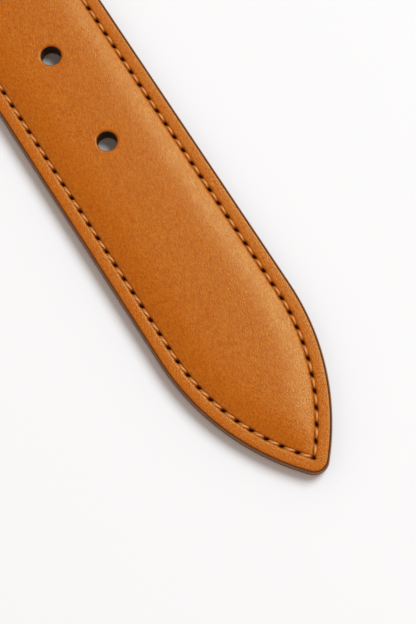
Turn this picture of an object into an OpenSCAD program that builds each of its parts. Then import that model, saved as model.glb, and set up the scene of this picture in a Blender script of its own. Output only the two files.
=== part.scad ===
// Gentleman's dress belt: padded, edge-painted leather strap with a pointed tip,
// screwed turnback, sliding keeper and a single-prong buckle.
// The free end lies flat on the table, face up, and the rest is wound up as for storage.
// Frame: origin on the underside at the middle adjusting hole, +X to the tip, +Z up.
// Profile points are [height above the strap's underside, distance across the strap].

/* [Strap] */
// Overall width of the strap, edge paint included
strap_w = 35; // [32:0.5:36]
// Length from the buckle bar to the middle adjusting hole
belt_size = 900; // [860:5:1000]
// Thickness of the lining leather
lining_t = 1.2; // [1:0.1:1.4]
// Thickness of the bonded stiffener between lining and face
core_t = 0.9; // [0.7:0.1:1.1]
// Thickness of the face leather
face_t = 1.1; // [0.9:0.1:1.2]
// Height that the padding lifts the face along the middle
pad_rise = 1.3; // [0.8:0.1:1.4]
// Distance from the strap's edge to the foot of the padding
pad_inset = 4.3; // [4.3:0.1:6]
// Width of the painted bead along every edge
bead_w = 0.5; // [0.5:0.1:0.8]

/* [Stitching] */
// Distance from the strap's edge to the line of stitches
stitch_inset = 3.6; // [3.3:0.1:3.6]
// Width of the pressed groove that the stitches lie in
groove_w = 1.0; // [0.9:0.1:1.2]
// Depth of the groove
groove_depth = 0.4; // [0.3:0.05:0.5]
// Diameter of the waxed thread
thread_d = 0.8; // [0.6:0.1:0.8]

/* [Tip] */
// Length of the curved taper, to the sharp point that it aims at
taper_len = 41.8; // [36:0.1:44]
// Radius of the rounded point
point_r = 3.5; // [3:0.1:4]
// Distance from the last hole to the sharp point
tip_reach = 92.5; // [85:0.1:100]

/* [Holes] */
// Number of adjusting holes
hole_count = 5; // [3:2:5]
// Distance between holes
hole_pitch = 25; // [23:0.2:25.4]
// Diameter of a hole
hole_d = 4.7; // [4.6:0.1:5.4]

/* [Roll] */
// Height of the wound-up part
roll_h = 76; // [74:0.5:80]
// Distance from one turn to the next
turn_pitch = 4.9; // [4.9:0.1:5.4]
// Distance from the middle hole back to the first bend
free_run = 100; // [96:1:110]
// Height of the strap's underside at the buckle end
buckle_lift = 16; // [16:0.2:17]
// Length of the straight run before the buckle bar
buckle_run = 56; // [55:0.5:58]

/* [Buckle] */
// Radius of the buckle bar
bar_r = 1.8; // [1.6:0.1:1.8]
// Clear width between the arms of the frame
frame_clear = 36.6; // [36.4:0.2:38]
// Width of each arm of the frame
arm_w = 4.7; // [4:0.1:5]
// Distance from the bar to the outer end of the frame
frame_len = 34; // [32:0.5:35]
// Width of the end of the frame that the prong rests on
rest_w = 6; // [5:0.5:7]
// Thickness of the frame
frame_t = 3.4; // [3:0.1:3.6]
// Width of the prong at its root
prong_w = 4.6; // [4:0.1:4.8]

/* [Keeper] */
// Length of the keeper along the strap
keeper_len = 12; // [10:0.5:12]
// Thickness of the keeper's outer leather
keeper_face_t = 1.1; // [1:0.1:1.2]
// Thickness of the keeper's lining
keeper_lining_t = 0.9; // [0.8:0.1:1]

/* [Hidden] */
$fn = 96;

// Heights in the strap, from its underside up
core_z = lining_t;
face_z = core_z + core_t;
margin_z = face_z + face_t;
crown_z = margin_z + pad_rise;
mid_z = margin_z / 2;

// Half widths across the strap
half_w = strap_w / 2;
leather_y = half_w - bead_w;
stitch_y = half_w - stitch_inset;
pad_y = half_w - pad_inset;
pad_slope = 5;
edge_round = 0.2;

// Overlap between pieces of one solid, how far a cutter runs past a face, and a length beyond any part here
eps = 0.01;
past = 0.1;
tall = 20;

// Plan of the tip: each side is an arc that starts tangent to the straight edge
// Lengths are kept to hundredths, so that pieces that meet share exactly the same face.
function hundredths(x) = round(100 * x) / 100;
taper_x = hole_pitch * (hole_count - 1) / 2 + tip_reach - taper_len;
taper_r = hundredths((taper_len * taper_len + half_w * half_w) / strap_w);
arc_y = taper_r - half_w;
point_x = taper_x + sqrt(pow(taper_r - point_r, 2) - arc_y * arc_y);
point_angle = atan2(arc_y, point_x - taper_x);
round_x = point_x + (point_r - bead_w) * cos(point_angle);
// Turn that carries the raised layers past the rounded point, where they are cut off
tip_turn = 50;

// Route of the underside: straight runs, each but the last ending in a half turn upwards
levels = [0, roll_h, turn_pitch, roll_h - turn_pitch, buckle_lift];
bends = [for (i = [0:3]) abs(levels[i + 1] - levels[i]) / 2];
bend_len = PI * (bends[0] + bends[1] + bends[2] + bends[3] - 4 * mid_z);
run_len = hundredths((belt_size - free_run - buckle_run - bend_len) / 4);
right_x = -free_run;
left_x = right_x - run_len;
bar_x = right_x - buckle_run;

// Turnback, measured from the bar along the strap
fold_gap = 0.2;
fold_r = bar_r + fold_gap;
bar_z = buckle_lift - fold_r;
turnback_len = 53;
turnback_t = lining_t + face_t;
turnback_round = 0.1;
end_bead_w = 0.4;
settle_u = 10;
pad_end_u = 26;
pad_end_t = 2;
stitch_end_u = pad_end_u - pad_end_t;
skive_u = [4, 9];
screw_u = [15, 46];
post_r = 2.2;
post_bore_r = 1.35;
post_head_r = 4.4;
post_head_t = 0.5;
screw_head_r = 4.2;
screw_head_t = 0.9;
driver_slot = [1, 0.4];
slot_w = 5.6;
slot_u = 9;

// Buckle and prong, heights measured from the middle of the bar
boss_r = 3.3;
frame_corner_r = 9;
window_corner_r = 4;
prong_reach = frame_len + 0.8;
prong_tip_w = 2.8;
prong_bore_r = bar_r + 0.06;
prong_rest_z = frame_t / 2 + 0.05;
prong_side = [
    [0, 0], [0, boss_r], [-14, prong_rest_z + 2.6], [4 - prong_reach, prong_rest_z + 2.2],
    [-prong_reach, prong_rest_z + 0.6], [-prong_reach, prong_rest_z],
    [-rest_w - 20, prong_rest_z], [-4, 0]
];
prong_taper_u = 8;

// Keeper
keeper_u = (screw_u[0] + screw_u[1]) / 2;
keeper_gap = 0.5;
keeper_inside = [half_w + keeper_gap, -turnback_t - 0.4, 2 * crown_z + 0.6];
keeper_t = keeper_lining_t + keeper_face_t;
keeper_r = 1;
keeper_groove = 0.35;
keeper_row_inset = 1.6;
keeper_thread_w = 0.7;
keeper_thread_low = 0.05;
staple_r = 0.4;
staple_y = 3;
staple_sink = 0.3;
staple_leg = keeper_face_t + 0.6;

// ---------- profiles ----------

// Each *_edge function lists one side of a layer, from the inner end of its underside
// round its outer edge to the inner end of its top.

// Three sides of a groove at distance y, cut from height z to z + depth
function groove(y, z, depth) = [
    [z, y - groove_w / 2], [z + depth, y - groove_w / 2],
    [z + depth, y + groove_w / 2], [z, y + groove_w / 2]
];

function reversed(points) = [for (i = [len(points) - 1:-1:0]) points[i]];

function lining_edge() = concat(
    groove(stitch_y, 0, groove_depth), [[0, leather_y], [core_z, leather_y]]);

function core_edge() = [[core_z, leather_y], [face_z, leather_y]];

function padding_edge() = [[face_z, pad_y], [face_z + pad_rise, pad_y - pad_slope]];

function face_top(grooved) = concat(
    [[face_z, leather_y], [margin_z, leather_y]],
    grooved ? reversed(groove(stitch_y, margin_z, -groove_depth)) : [],
    [[margin_z, pad_y + edge_round], [margin_z + 0.4 * pad_rise, pad_y - 0.25 * pad_slope],
     [margin_z + 0.8 * pad_rise, pad_y - 0.6 * pad_slope], [crown_z, pad_y - pad_slope]]);

function face_edge(grooved) = concat(reversed(padding_edge()), face_top(grooved));

// Closed profile across the whole strap
function whole(edge) = concat(edge, reversed([for (p = edge) [p[0], -p[1]]]));

// Closed profile from the middle of the strap to one edge
function half(edge) = concat([[edge[0][0], 0]], edge, [[edge[len(edge) - 1][0], 0]]);

// Bead of edge paint: flat against the leather, rounded outside
function bead_profile(low, high) = let (mid = (low + high) / 2, half = (high - low) / 2) concat(
    [[low, leather_y]],
    [for (a = [-60:30:60]) [mid + half * sin(a), leather_y + bead_w * cos(a)]],
    [[high, leather_y]]);

function thread_profile(z) = [
    for (a = [0:45:315]) [z + groove_depth / 2 * sin(a), stitch_y + thread_d / 2 * cos(a)]
];

// ---------- sweeps ----------

module at_run(i) {
    start_x = [taper_x, left_x, right_x, left_x, right_x][i];
    translate([start_x, 0, levels[i]]) rotate([0, 180 * (i % 2), 0]) children();
}

module straight(points, length) {
    rotate([0, -90, 0]) linear_extrude(length) polygon(points);
}

module half_turn(points, radius) {
    multmatrix([[0, -1, 0, 0], [0, 0, 1, 0], [-1, 0, 0, radius]])
        rotate_extrude(angle = 180) polygon([for (p = points) [radius - p[0], p[1]]]);
}

// Sweeps a profile from the start of the taper to stop_u short of the buckle bar
module sweep(points, stop_u) {
    lengths = [taper_x - left_x, run_len, run_len, run_len, buckle_run - stop_u];
    for (i = [0:4]) at_run(i) {
        straight(points, lengths[i]);
        if (i < 4) translate([-lengths[i], 0, 0]) half_turn(points, bends[i]);
    }
}

// Turns a profile through turn degrees round one side of the tip, from the straight edge on
module turn_from_edge(points, turn) {
    translate([taper_x, -arc_y, 0]) rotate([0, 0, 90]) mirror([0, 1, 0])
        rotate_extrude(angle = turn) polygon([for (p = points) [arc_y + p[1], p[0]]]);
}

// The same, from start_angle back towards the straight edge
module turn_from_point(points, start_angle, turn) {
    translate([taper_x, -arc_y, 0]) rotate([0, 0, start_angle])
        rotate_extrude(angle = turn) polygon([for (p = points) [arc_y + p[1], p[0]]]);
}

// The whole side, made from both ends with an overlap so that each end face is exact
module taper_turn(points, start_angle) {
    turn = 0.6 * (90 - start_angle);
    turn_from_edge(points, turn);
    turn_from_point(points, start_angle, turn);
}

module on_both_edges() {
    children();
    mirror([0, 1, 0]) children();
}

// Turns a profile given from the edge inwards about the middle of the rounded point
module point_turn(points) {
    translate([point_x, 0, 0]) rotate([0, 0, -point_angle]) rotate_extrude(angle = 2 * point_angle)
        polygon([for (p = points) [p[1] - half_w + point_r, p[0]]]);
}

// A flat layer: swept along the strap, with the tip cut to its plan
module flat_layer(edge, low, high, stop_u) {
    sweep(whole(edge), stop_u);
    intersection() {
        translate([taper_x, -leather_y, low]) cube([round_x - taper_x, 2 * leather_y, high - low]);
        translate([taper_x, -arc_y, low]) cylinder(r = taper_r - bead_w, h = high - low);
        translate([taper_x, arc_y, low]) cylinder(r = taper_r - bead_w, h = high - low);
    }
    translate([point_x, 0, low]) cylinder(r = point_r - bead_w, h = high - low);
}

// A raised layer: swept along the strap, then turned round the tip on both sides
module raised_layer(edge, tip_edge, stop_u) {
    sweep(whole(edge), stop_u);
    on_both_edges() intersection() {
        turn_from_edge(half(tip_edge), tip_turn);
        translate([taper_x, 0, 0]) cube([round_x - taper_x, half_w, tall]);
    }
}

// Groove for the stitches round the tip, between two heights
module tip_groove(low, high) {
    on_both_edges() turn_from_edge([
        [low, stitch_y - groove_w / 2], [high, stitch_y - groove_w / 2],
        [high, stitch_y + groove_w / 2], [low, stitch_y + groove_w / 2]
    ], 90 - stitch_point_angle());
}

function stitch_point_angle() = asin(arc_y / (arc_y + stitch_y));

module holes() {
    for (i = [0:hole_count - 1])
        translate([hole_pitch * (i - (hole_count - 1) / 2), 0, -1]) cylinder(d = hole_d, h = tall);
}

// ---------- buckle end ----------

module at_bar() {
    translate([bar_x, 0, buckle_lift]) children();
}

// Side view, [distance from the bar, height above the strap's underside], given a width
module side_plate(points, width) {
    at_bar() translate([0, width / 2, 0]) rotate([90, 0, 0]) linear_extrude(width) polygon(points);
}

// Half ring of leather round the bar, from radius inner to outer
module fold(inner, outer) {
    at_bar() intersection() {
        translate([0, leather_y, -fold_r]) rotate([90, 0, 0]) difference() {
            cylinder(r = outer, h = 2 * leather_y);
            translate([0, 0, -1]) cylinder(r = inner, h = 2 * leather_y + 2);
        }
        translate([-tall, -half_w, -tall]) cube([tall, strap_w, 2 * tall]);
    }
}

// The layer's return under the strap, from depth near to depth far below the strap
module turnback(near, far) {
    drop = 2 * fold_r;
    side_plate([
        [0, -drop - near], [settle_u, -near], [turnback_len, -near],
        [turnback_len, -far], [settle_u, -far], [0, -drop - far]
    ], 2 * leather_y);
}

// Slot for the prong, through the strap, the fold and the turnback but not the turn below
module prong_slot() {
    outer = fold_r + turnback_t + past;
    low = -fold_r - outer;
    round_u = slot_u - slot_w / 2;
    at_bar() {
        translate([-outer, -slot_w / 2, low]) cube([outer + round_u, slot_w, tall]);
        translate([round_u, 0, low]) cylinder(d = slot_w, h = tall);
    }
}

module at_screws() {
    for (u = screw_u) at_bar() translate([u, 0, 0]) children();
}

module screw_holes(top) {
    at_screws() translate([0, 0, -turnback_t - past]) cylinder(r = post_r, h = turnback_t + past + top);
}

module strap_face() {
    color("peru") difference() {
        union() {
            raised_layer(face_edge(true), face_edge(false), pad_end_u);
            intersection() {
                translate([point_x, 0, face_z]) cylinder(r = point_r - bead_w, h = face_t);
                translate([point_x, -half_w, 0]) cube([half_w, strap_w, tall]);
            }
            at_bar() translate([pad_end_u, 0, 0])
                straight(whole(concat([[face_z, pad_y]], face_top(true))), pad_end_t);
            side_plate([
                [stitch_end_u, face_z], [stitch_end_u, margin_z], [skive_u[1], margin_z],
                [skive_u[0], core_z + face_t], [0, core_z + face_t], [0, core_z],
                [skive_u[0], core_z], [skive_u[1], face_z]
            ], 2 * leather_y);
            fold(fold_r + lining_t, fold_r + turnback_t);
            turnback(lining_t, turnback_t);
        }
        tip_groove(margin_z - groove_depth, tall);
        holes();
        prong_slot();
        screw_holes(0);
    }
}

module strap_padding() {
    color("tan") difference() {
        raised_layer(padding_edge(), padding_edge(), pad_end_u);
        holes();
    }
}

module strap_core() {
    color("saddlebrown") difference() {
        union() {
            flat_layer(core_edge(), core_z, face_z, skive_u[1]);
            side_plate([[skive_u[1], core_z], [skive_u[1], face_z], [skive_u[0], core_z]], 2 * leather_y);
        }
        holes();
        prong_slot();
        screw_holes(face_z);
        at_screws() translate([0, 0, face_z - post_head_t]) cylinder(r = post_head_r, h = 1);
    }
}

module strap_lining() {
    color("burlywood") difference() {
        union() {
            flat_layer(lining_edge(), 0, core_z, stitch_end_u);
            side_plate([[0, 0], [stitch_end_u, 0], [stitch_end_u, core_z], [0, core_z]], 2 * leather_y);
            fold(fold_r, fold_r + lining_t);
            turnback(0, lining_t);
        }
        tip_groove(-1, groove_depth);
        holes();
        prong_slot();
        screw_holes(face_z);
    }
}

module edge_paint() {
    bead = bead_profile(edge_round, margin_z - edge_round);
    color("saddlebrown") {
        on_both_edges() {
            sweep(bead, skive_u[1]);
            taper_turn(bead, point_angle);
        }
        point_turn(bead);
    }
}

// The turnback's own painted edge, along its two sides and across its end
module turnback_edge_paint() {
    low = turnback_round - turnback_t;
    color("saddlebrown") {
        side_plate([
            [turnback_len, -turnback_round], [turnback_len + end_bead_w, -turnback_round - end_bead_w],
            [turnback_len + end_bead_w, low + end_bead_w], [turnback_len, low]
        ], 2 * leather_y + bead_w);
        on_both_edges() at_bar() translate([turnback_len, 0, 0])
            straight(bead_profile(low, -turnback_round), turnback_len - settle_u);
    }
}

module stitches(z) {
    color("sandybrown") on_both_edges() {
        sweep(thread_profile(z), stitch_end_u);
        taper_turn(thread_profile(z), stitch_point_angle());
    }
}

module screw_posts() {
    color("silver") at_screws() difference() {
        union() {
            translate([0, 0, face_z - post_head_t]) cylinder(r = post_head_r, h = post_head_t);
            translate([0, 0, -turnback_t]) cylinder(r = post_r, h = face_z + turnback_t - eps);
        }
        translate([0, 0, -turnback_t - 1]) cylinder(r = post_bore_r, h = turnback_t + 1 + core_z);
    }
}

module clamp_screws() {
    color("silver") at_screws() difference() {
        union() {
            translate([0, 0, -turnback_t - screw_head_t]) cylinder(r = screw_head_r, h = screw_head_t);
            translate([0, 0, -turnback_t - eps]) cylinder(r = post_bore_r, h = turnback_t + core_z - 0.5);
        }
        translate([-screw_head_r - past, -driver_slot[0] / 2, -turnback_t - screw_head_t - past])
            cube([2 * (screw_head_r + past), driver_slot[0], driver_slot[1] + past]);
    }
}

// Flat plate with rounded corners at its outer end only
module buckle_plate(outer_u, inner_u, half_width, corner_r, low, high) {
    for (y = [corner_r - half_width, half_width - corner_r])
        translate([-outer_u + corner_r, y, low]) cylinder(r = corner_r, h = high - low);
    translate([-outer_u + corner_r, -half_width, low])
        cube([outer_u - corner_r + inner_u, 2 * half_width, high - low]);
    translate([-outer_u, corner_r - half_width, low])
        cube([corner_r + eps, 2 * (half_width - corner_r), high - low]);
}

module buckle_frame() {
    outer_y = frame_clear / 2 + arm_w;
    color("goldenrod") at_bar() translate([0, 0, -fold_r]) difference() {
        union() {
            difference() {
                buckle_plate(frame_len, 0, outer_y, frame_corner_r, -frame_t / 2, frame_t / 2);
                buckle_plate(frame_len - rest_w, past, frame_clear / 2, window_corner_r, -frame_t, frame_t);
            }
            for (y = [-outer_y, frame_clear / 2])
                translate([0, y, 0]) rotate([-90, 0, 0]) cylinder(r = boss_r, h = arm_w);
        }
        translate([0, -outer_y - past, 0]) rotate([-90, 0, 0]) cylinder(r = bar_r, h = 2 * (outer_y + past));
    }
}

module buckle_bar() {
    length = frame_clear + 2 * arm_w;
    color("goldenrod") at_bar() translate([0, -length / 2, -fold_r]) rotate([-90, 0, 0])
        cylinder(r = bar_r, h = length);
}

module buckle_prong() {
    root_y = prong_w / 2;
    tip_y = prong_tip_w / 2;
    color("goldenrod") at_bar() translate([0, 0, -fold_r]) difference() {
        union() {
            translate([0, -root_y, 0]) rotate([-90, 0, 0]) cylinder(r = boss_r, h = prong_w);
            intersection() {
                translate([0, tall, 0]) rotate([90, 0, 0]) linear_extrude(2 * tall) polygon(prong_side);
                translate([0, 0, -past]) linear_extrude(tall) polygon([
                    [0, -root_y], [0, root_y], [-prong_taper_u, root_y], [-prong_reach, tip_y],
                    [-prong_reach, -tip_y], [-prong_taper_u, -root_y]
                ]);
            }
        }
        translate([0, -prong_w, 0]) rotate([-90, 0, 0]) cylinder(r = prong_bore_r, h = 2 * prong_w);
    }
}

// Solid block that fills the keeper's loop, grown by out
module keeper_block(out, length) {
    y = keeper_inside[0] + out;
    low = keeper_inside[1] - out;
    high = keeper_inside[2] + out;
    r = keeper_r + out;
    at_bar() translate([keeper_u - length / 2, 0, 0]) rotate([90, 0, 90]) linear_extrude(length) {
        for (cy = [r - y, y - r], cz = [low + r, high - r]) translate([cy, cz]) circle(r);
        translate([-y, low + r]) square([2 * y, high - low - 2 * r]);
        translate([r - y, low]) square([2 * (y - r), high - low]);
    }
}

module keeper_lining() {
    color("burlywood") difference() {
        keeper_block(keeper_lining_t, keeper_len);
        keeper_block(0, keeper_len + 2 * past);
        keeper_staple_legs();
    }
}

module keeper_face() {
    color("peru") difference() {
        keeper_block(keeper_t, keeper_len);
        keeper_block(keeper_lining_t, keeper_len + 2 * past);
        keeper_thread_rings(past);
        keeper_staple_legs();
        keeper_staple_crown();
    }
}

// Two bands round the keeper, from the bottom of their grooves to reach beyond its outside
module keeper_thread_rings(reach) {
    for (side = [-1, 1]) translate([side * (keeper_len / 2 - keeper_row_inset), 0, 0]) difference() {
        keeper_block(keeper_t + reach, keeper_thread_w);
        keeper_block(keeper_t - keeper_groove, keeper_thread_w + 2 * past);
    }
}

module keeper_thread() {
    color("sandybrown") difference() {
        keeper_thread_rings(-keeper_thread_low);
        keeper_staple_crown();
    }
}

module at_keeper_underside() {
    at_bar() translate([keeper_u, 0, keeper_inside[1] - keeper_t]) children();
}

// The staple's legs stop inside the lining, and its crown is sunk in the keeper's underside
module keeper_staple_legs() {
    for (y = [-staple_y, staple_y]) at_keeper_underside() translate([0, y, 0])
        cylinder(r = staple_r, h = staple_leg);
}

module keeper_staple_crown() {
    half_len = staple_y + staple_r;
    at_keeper_underside() translate([0, -half_len, staple_sink]) rotate([-90, 0, 0])
        cylinder(r = staple_r, h = 2 * half_len);
}

module keeper_staple() {
    color("silver") {
        keeper_staple_legs();
        keeper_staple_crown();
    }
}

strap_face();
strap_padding();
strap_core();
strap_lining();
edge_paint();
stitches(margin_z - groove_depth / 2);  // face_thread
stitches(groove_depth / 2);  // lining_thread
turnback_edge_paint();
screw_posts();
clamp_screws();
buckle_frame();
buckle_bar();
buckle_prong();
keeper_face();
keeper_lining();
keeper_thread();
keeper_staple();
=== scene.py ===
"""The looks of a wound-up dress belt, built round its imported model.

Lengths are in mm until a mesh is made. A point of the strap is given flat: s is its distance along the strap
from the start of the tip's taper, negative in the tip, y its place across, and h its height above the
underside. strap_point() winds it up. An inset d is a distance in from the strap's outline.
"""

import bmesh
import bpy
import numpy as np
from mathutils import Matrix, Vector


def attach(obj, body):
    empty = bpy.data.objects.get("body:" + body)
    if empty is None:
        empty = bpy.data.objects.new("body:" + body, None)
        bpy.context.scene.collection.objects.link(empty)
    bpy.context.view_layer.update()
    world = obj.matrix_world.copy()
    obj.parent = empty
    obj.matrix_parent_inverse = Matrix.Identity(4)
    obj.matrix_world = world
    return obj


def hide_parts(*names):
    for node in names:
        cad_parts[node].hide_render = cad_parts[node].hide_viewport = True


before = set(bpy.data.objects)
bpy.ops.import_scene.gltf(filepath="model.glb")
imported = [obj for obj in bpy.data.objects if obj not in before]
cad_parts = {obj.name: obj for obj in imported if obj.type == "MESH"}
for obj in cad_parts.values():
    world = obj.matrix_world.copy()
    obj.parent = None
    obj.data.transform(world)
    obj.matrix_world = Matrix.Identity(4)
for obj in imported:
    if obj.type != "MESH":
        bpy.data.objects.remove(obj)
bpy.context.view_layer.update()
MM = 0.001

# ---------- the strap's sizes, as in the CAD source ----------

# Half the width, and heights above the underside: the lining's top, the face leather's underside, the flat
# margin, the crown, and the layer that keeps its length in a bend
HALF_W = 17.5
LINING_T = 1.2
FACE_Z = 2.1
MARGIN_Z = 3.2
CROWN_Z = 4.5
MID_Z = 1.6

# Width of the painted bead, and the stitches' inset
BEAD_W = 0.5
STITCH_D = 3.6

# The tip: each side is an arc that leaves the straight edge at TAPER_X, and a small arc rounds the point
TAPER_X = 100.7
TAPER_R = 58.67
ARC_Y = TAPER_R - HALF_W
POINT_R = 3.5
POINT_X = TAPER_X + np.sqrt((TAPER_R - POINT_R) ** 2 - ARC_Y**2)
POINT_ANGLE = np.arctan2(ARC_Y, POINT_X - TAPER_X)

# Adjusting holes, 0.03 tighter than in the layers between face and lining, which then stay behind the leather
HOLES_X = (-50.0, -25.0, 0.0, 25.0, 50.0)
HOLE_R = 2.32

# The roll: straight runs between LEFT_X and RIGHT_X at LEVELS, joined by half-round bends
LEFT_X = -185.63
RIGHT_X = -100.0
BAR_X = -156.0
BUCKLE_Z = 16.0
LEVELS = (0.0, 76.0, 4.9, 71.1, BUCKLE_Z)
STARTS = (TAPER_X, LEFT_X, RIGHT_X, LEFT_X, RIGHT_X)
RUNS = (TAPER_X - LEFT_X, RIGHT_X - LEFT_X, RIGHT_X - LEFT_X, RIGHT_X - LEFT_X, RIGHT_X - BAR_X)
BENDS = tuple(abs(LEVELS[i + 1] - LEVELS[i]) / 2 for i in range(4))

# The thinned leather folds round the bar and runs back under the strap as the turnback, which rises to lie
# against the strap within SETTLE_U
FOLD_R = 2.0
BAR_Z = BUCKLE_Z - FOLD_R
TURNBACK_T = 2.3
TURNBACK_LEN = 53.0
SETTLE_U = 10.0
FOLD_LEN = np.pi * (FOLD_R + TURNBACK_T / 2)
BAR_S = sum(RUNS) + sum(np.pi * (r - MID_Z) for r in BENDS)
FOLD_END_S = BAR_S + FOLD_LEN
END_S = FOLD_END_S + TURNBACK_LEN

# Distances before the bar: the padding's end, and the stretch over which the leather is thinned. That starts
# 0.5 earlier than in the CAD source.
PAD_END_U = 26.0
SKIVE_START_U = 9.5
SKIVE_END_U = 4.0

# The prong's slot, half its width and its reach on each side of the fold
SLOT_Y = 2.8
SLOT_U = 9.0

# Stitches are counted from where the two rows meet at the tip, and end just beyond the padding
STITCH_END_S = BAR_S - 24.0
STITCH_R = TAPER_R - STITCH_D
APEX_ANGLE = np.arcsin(ARC_Y / STITCH_R)
TAPER_STITCH_LEN = STITCH_R * (np.pi / 2 - APEX_ANGLE)
TAPER_PITCHES = 10.5
PITCH = TAPER_STITCH_LEN / TAPER_PITCHES

# The pattern has 8 cross lines to a stitch up to FINE_END, just past the middle hole, and 3 after it
STEPS = 8
STEP = PITCH / STEPS
COARSE_STEPS = 3
FINE_END = 118.0


# ---------- the shape of the strap ----------

def smooth(low, high, value):
    """Eases from 0 at low to 1 at high."""
    t = np.clip((value - low) / (high - low), 0, 1)
    return t * t * (3 - 2 * t)


def strap_point(s, y, h):
    """Where a point of the flat strap lies in the wound-up belt."""
    s, y, h = (np.asarray(a, float) for a in np.broadcast_arrays(s, y, h))
    x, z = np.zeros_like(s), np.zeros_like(s)
    begin = 0.0
    for i, run in enumerate(RUNS):
        up = -1 if i % 2 else 1
        low = -np.inf if i == 0 else begin
        # The tolerance keeps the bar's own line, at the end of the last run, from being missed
        on = (s >= low) & (s <= begin + run + 1e-6)
        x[on] = STARTS[i] - up * (s[on] - begin)
        z[on] = LEVELS[i] + up * h[on]
        begin += run
        if i == len(BENDS):
            break
        length = np.pi * (BENDS[i] - MID_Z)
        on = (s > begin) & (s < begin + length)
        turn = np.pi * (s[on] - begin) / length
        r = BENDS[i] - h[on]
        x[on] = (LEFT_X if up == 1 else RIGHT_X) - up * r * np.sin(turn)
        z[on] = LEVELS[i] + up * (BENDS[i] - r * np.cos(turn))
        begin += length
    on = (s > BAR_S) & (s < FOLD_END_S)
    turn = np.pi * (s[on] - BAR_S) / FOLD_LEN
    x[on] = BAR_X - (FOLD_R + h[on]) * np.sin(turn)
    z[on] = BAR_Z + (FOLD_R + h[on]) * np.cos(turn)
    on = s >= FOLD_END_S
    u = s[on] - FOLD_END_S
    ease = np.clip(u / SETTLE_U, 0, 1)
    drop = 2 * FOLD_R * (1 - ease * ease * (3 - 2 * ease)) * (u < SETTLE_U)
    x[on] = BAR_X + u
    z[on] = BUCKLE_Z - drop - h[on]
    return np.stack([x, y, z], -1)


def inset(s, y):
    """Distance in from the strap's outline, and the same with the ridge down the tip's middle softened."""
    x = TAPER_X - s
    side = np.abs(y)
    dx = np.maximum(x - TAPER_X, 0)
    near_arc = TAPER_R - np.hypot(dx, side + ARC_Y)
    far_arc = TAPER_R - np.hypot(dx, side - ARC_Y)
    tip = x > TAPER_X
    d = np.where(tip, near_arc, HALF_W - side)
    other = np.where(tip, far_arc, HALF_W + side)
    blend = 5.0
    gap = np.clip(1 - (other - d) / blend, 0, 1)
    soft = d - blend / 4 * gap * gap
    px = x - POINT_X
    point = tip & (px * np.sin(POINT_ANGLE) > side * np.cos(POINT_ANGLE))
    d = np.where(point, POINT_R - np.hypot(px, side), d)
    return d, np.where(point, np.minimum(d, soft), soft)


def along_stitches(s, y):
    """Distance along the row of stitches from the tip, level with a point of the strap."""
    angle = np.arctan2(np.abs(y) + ARC_Y, -s)
    return np.where(s < 0, STITCH_R * (angle - APEX_ANGLE), TAPER_STITCH_LEN + s)


def on_stitch_line(q, side, offset=0.0):
    """s and y of a point q along a row of stitches, offset towards the middle of the strap."""
    angle = APEX_ANGLE + q / STITCH_R
    r = STITCH_R - offset
    taper = q < TAPER_STITCH_LEN
    s = np.where(taper, -r * np.cos(angle), q - TAPER_STITCH_LEN)
    y = np.where(taper, r * np.sin(angle) - ARC_Y, HALF_W - STITCH_D - offset)
    return s, side * y


def hole_distance(s, y):
    """Distance from the middle of the nearest adjusting hole. Past the first run, every hole is far away."""
    x = TAPER_X - s
    away = 99 * (s > RUNS[0])
    return np.min([np.hypot(x - hx, y) + away for hx in HOLES_X], axis=0)


def pits(s, y, d):
    """How deep in a needle hole each point is, from 0 to 1."""
    q = along_stitches(s, y)
    a = (q / PITCH - np.round(q / PITCH)) * PITCH
    slant = d - STITCH_D - 0.25 * a * np.sign(y)
    row = (s < STITCH_END_S) & (q > -0.5)
    return row * np.exp(-(np.abs(a / 0.52) ** 3) - (slant / 0.33) ** 2)


def groove(s, d):
    """How deep in the stitches' pressed groove each point is, from 0 to 1."""
    row = s < STITCH_END_S + 0.5
    return row * np.exp(-(((d - STITCH_D) / 0.38) ** 2))


def seam(s, d):
    """The crease between the stitches and the foot of the padding, from 0 to 1."""
    row = s < STITCH_END_S + 0.5
    return row * np.exp(-(((d - STITCH_D - 0.38) / 0.11) ** 2))


def pad(s, soft):
    """Height of the padding's crown, up to 1: steep at its foot, then easing to the middle of the strap."""
    foot = np.maximum(soft - 4.0, 0)
    rise = 0.93 * (1 - np.exp(-((foot / 3.0) ** 1.25))) + 0.07 * np.clip(foot / 13.5, 0, 1)
    return rise * smooth(PAD_END_U - 2.5, PAD_END_U + 3.0, BAR_S - s)


def thinning(s):
    """0 on the full thickness of the strap, 1 on the thinned leather round the bar."""
    return 1 - smooth(SKIVE_END_U, SKIVE_START_U, BAR_S - s)


def rounding(distance, width, drop):
    """Fall of a surface that rolls over towards an edge, as a quarter of an ellipse."""
    t = np.clip(distance / width, 0, 1)
    return drop * (1 - np.sqrt(1 - (1 - t) ** 2))


def face_top(s, y):
    """Height of the face leather's grain side."""
    d, soft = inset(s, y)
    h = MARGIN_Z + (CROWN_Z - MARGIN_Z) * pad(s, soft)
    h = h - 0.36 * groove(s, d) - 0.75 * pits(s, y, d) - 0.08 * seam(s, d)
    h = h - 0.10 * np.clip((1.9 - d) / 1.4, 0, 1) ** 2
    h = h - rounding(d - BEAD_W, 0.4, 0.2)
    h = h - rounding(hole_distance(s, y) - HOLE_R, 0.7, 0.4)
    return h - thinning(s) * (MARGIN_Z - TURNBACK_T)


def face_bottom(s, y):
    """Height of the face leather's underside, which the padding lifts."""
    _, soft = inset(s, y)
    on_pad = np.clip((soft - 4.3) / 5.0, 0, 1) * (BAR_S - s > PAD_END_U)
    return FACE_Z + (LINING_T - FACE_Z) * thinning(s) + 1.27 * on_pad


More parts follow.
